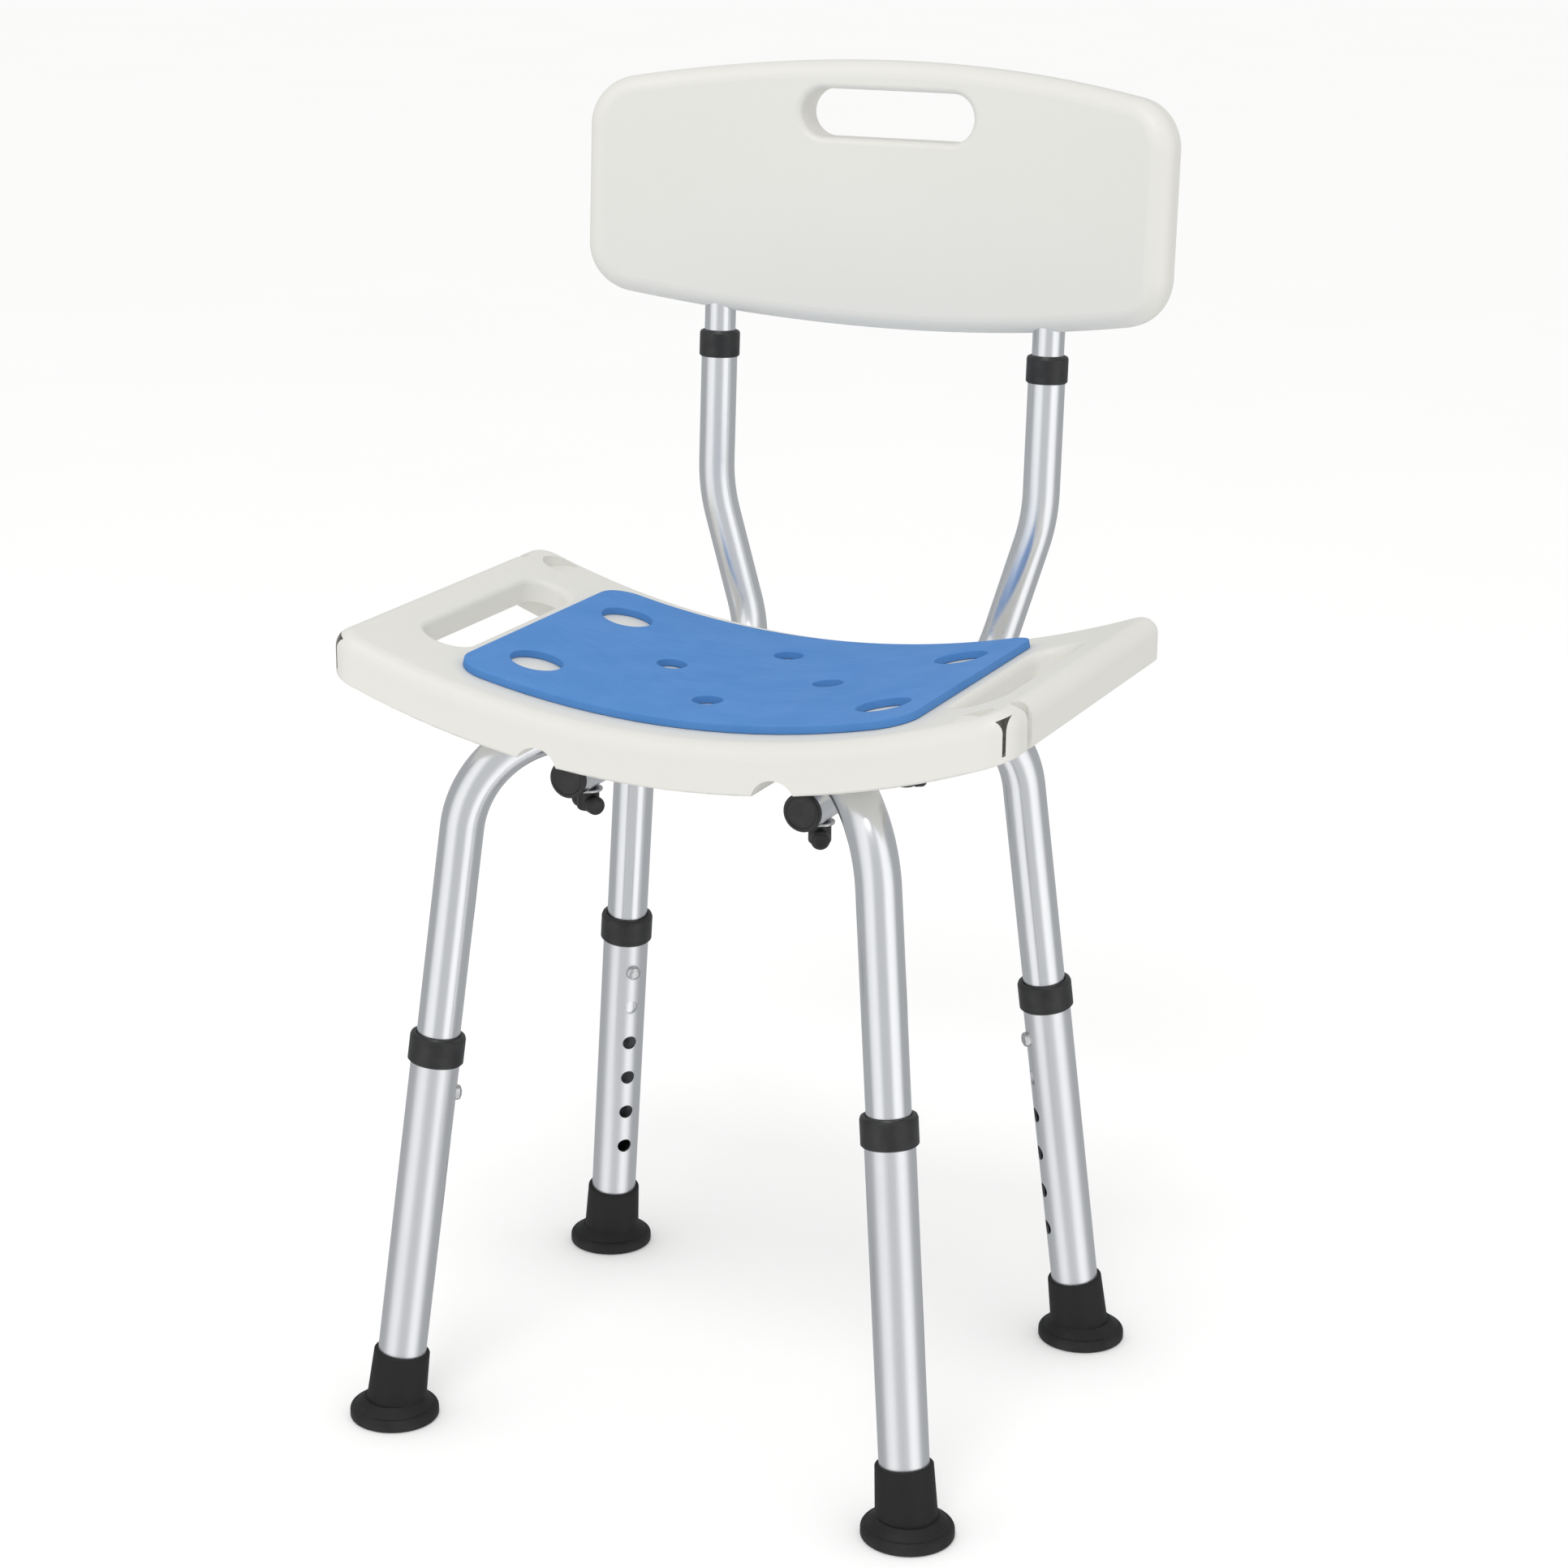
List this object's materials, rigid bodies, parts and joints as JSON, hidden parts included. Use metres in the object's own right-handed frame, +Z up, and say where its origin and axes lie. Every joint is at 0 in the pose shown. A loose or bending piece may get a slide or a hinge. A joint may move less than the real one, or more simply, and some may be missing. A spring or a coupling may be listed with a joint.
{
  "type": "shower chair",
  "caption": "Shower chair: padded saddle-shaped plastic seat with hand slots, crossed aluminium legs with snap-button height adjustment, and a lift-out backrest with a handle.",
  "frame": {"origin": "on the floor, under the middle of the whole chair's box; the seat's middle is 26 mm further forward", "axes": "+X to the sitter's left, +Y to the back, +Z up; the front of the seat faces -Y"},
  "size_m": [0.416, 0.3864, 0.7752],
  "materials": {
    "white_plastic": "satin moulded off-white polyethylene",
    "pad_foam": "matt closed-cell foam, blue",
    "tube_aluminium": "satin anodised tube",
    "black_plastic": "matt black moulded",
    "foot_rubber": "matt dark grey rubber",
    "steel": "plain stainless",
    "brass": "machined"
  },
  "bodies": {
    "frame": {"seat": "white_plastic", "pad": "pad_foam", "threaded_inserts": "brass", "leg_frame_screws": "steel", "leg_frame_left": "tube_aluminium", "leg_frame_right": "tube_aluminium", "leg_button_springs": "steel", "backrest_tube_left": "tube_aluminium", "backrest_tube_right": "tube_aluminium", "tube_plug_left": "black_plastic", "tube_plug_right": "black_plastic", "backrest_collar_left": "black_plastic", "backrest_collar_right": "black_plastic", "clamp_washer_front_right": "steel", "clamp_washer_front_left": "steel", "clamp_washer_rear_left": "steel", "clamp_washer_rear_right": "steel"},
    "leg_front_right": {"leg_tube_front_right": "tube_aluminium", "leg_collar_front_right": "black_plastic", "leg_foot_front_right": "foot_rubber"},
    "button_front_right": {"leg_button_front_right": "steel"},
    "leg_front_left": {"leg_tube_front_left": "tube_aluminium", "leg_collar_front_left": "black_plastic", "leg_foot_front_left": "foot_rubber"},
    "button_front_left": {"leg_button_front_left": "steel"},
    "leg_rear_left": {"leg_tube_rear_left": "tube_aluminium", "leg_collar_rear_left": "black_plastic", "leg_foot_rear_left": "foot_rubber"},
    "button_rear_left": {"leg_button_rear_left": "steel"},
    "leg_rear_right": {"leg_tube_rear_right": "tube_aluminium", "leg_collar_rear_right": "black_plastic", "leg_foot_rear_right": "foot_rubber"},
    "button_rear_right": {"leg_button_rear_right": "steel"},
    "backrest": {"backrest": "white_plastic", "backrest_post_left": "tube_aluminium", "backrest_post_right": "tube_aluminium", "backrest_screws": "steel", "backrest_button_springs": "steel"},
    "back_button_left": {"backrest_button_left": "steel"},
    "back_button_right": {"backrest_button_right": "steel"},
    "knob_front_right": {"clamp_knob_front_right": "black_plastic", "clamp_stud_front_right": "steel"},
    "knob_front_left": {"clamp_knob_front_left": "black_plastic", "clamp_stud_front_left": "steel"},
    "knob_rear_left": {"clamp_knob_rear_left": "black_plastic", "clamp_stud_rear_left": "steel"},
    "knob_rear_right": {"clamp_knob_rear_right": "black_plastic", "clamp_stud_rear_right": "steel"}
  },
  "joints": [
    {"name": "leg_height_front_right", "type": "slide", "parent": "frame", "child": "leg_front_right", "axis": [0.0996, 0.0843, 0.9914], "range_m": [0, 0.127], "deforming": ["leg_button_front_right", "leg_button_springs"]},
    {"name": "leg_button_press_front_right", "type": "slide", "parent": "frame", "child": "button_front_right", "axis": [-0.7568, -0.6405, 0.1305], "range_m": [0, 0.0052], "stiffness_N_per_m": 1500, "springref_m": -0.002, "deforming": ["leg_button_springs"]},
    {"name": "leg_height_front_left", "type": "slide", "parent": "frame", "child": "leg_front_left", "axis": [-0.0996, 0.0843, 0.9914], "range_m": [0, 0.127], "deforming": ["leg_button_front_left", "leg_button_springs"]},
    {"name": "leg_button_press_front_left", "type": "slide", "parent": "frame", "child": "button_front_left", "axis": [0.7568, -0.6405, 0.1305], "range_m": [0, 0.0052], "stiffness_N_per_m": 1500, "springref_m": -0.002, "deforming": ["leg_button_springs"]},
    {"name": "leg_height_rear_left", "type": "slide", "parent": "frame", "child": "leg_rear_left", "axis": [-0.0996, -0.0843, 0.9914], "range_m": [0, 0.127], "deforming": ["leg_button_rear_left", "leg_button_springs"]},
    {"name": "leg_button_press_rear_left", "type": "slide", "parent": "frame", "child": "button_rear_left", "axis": [0.7568, 0.6405, 0.1305], "range_m": [0, 0.0052], "stiffness_N_per_m": 1500, "springref_m": -0.002, "deforming": ["leg_button_springs"]},
    {"name": "leg_height_rear_right", "type": "slide", "parent": "frame", "child": "leg_rear_right", "axis": [0.0996, -0.0843, 0.9914], "range_m": [0, 0.127], "deforming": ["leg_button_rear_right", "leg_button_springs"]},
    {"name": "leg_button_press_rear_right", "type": "slide", "parent": "frame", "child": "button_rear_right", "axis": [-0.7568, 0.6405, 0.1305], "range_m": [0, 0.0052], "stiffness_N_per_m": 1500, "springref_m": -0.002, "deforming": ["leg_button_springs"]},
    {"name": "backrest_lift", "type": "slide", "parent": "frame", "child": "backrest", "axis": [0, 0.0523, 0.9986], "range_m": [0, 0.07], "deforming": ["backrest_button_left", "backrest_button_right", "backrest_button_springs"]},
    {"name": "backrest_button_press_left", "type": "slide", "parent": "backrest", "child": "back_button_left", "axis": [0, -0.9986, 0.0523], "range_m": [0, 0.0052], "stiffness_N_per_m": 1200, "springref_m": -0.002, "deforming": ["backrest_button_springs"]},
    {"name": "backrest_button_press_right", "type": "slide", "parent": "backrest", "child": "back_button_right", "axis": [0, -0.9986, 0.0523], "range_m": [0, 0.0052], "stiffness_N_per_m": 1200, "springref_m": -0.002, "deforming": ["backrest_button_springs"]},
    {"name": "clamp_turn_front_right", "type": "hinge", "parent": "frame", "child": "knob_front_right", "pos_m": [-0.073, -0.08797, 0.38], "axis": [0, 0, -1], "range_deg": [0, 1080]},
    {"name": "clamp_turn_front_left", "type": "hinge", "parent": "frame", "child": "knob_front_left", "pos_m": [0.073, -0.08797, 0.38], "axis": [0, 0, -1], "range_deg": [0, 1080]},
    {"name": "clamp_turn_rear_left", "type": "hinge", "parent": "frame", "child": "knob_rear_left", "pos_m": [0.073, 0.0356, 0.38], "axis": [0, 0, -1], "range_deg": [0, 1080]},
    {"name": "clamp_turn_rear_right", "type": "hinge", "parent": "frame", "child": "knob_rear_right", "pos_m": [-0.073, 0.0356, 0.38], "axis": [0, 0, -1], "range_deg": [0, 1080]}
  ]
}
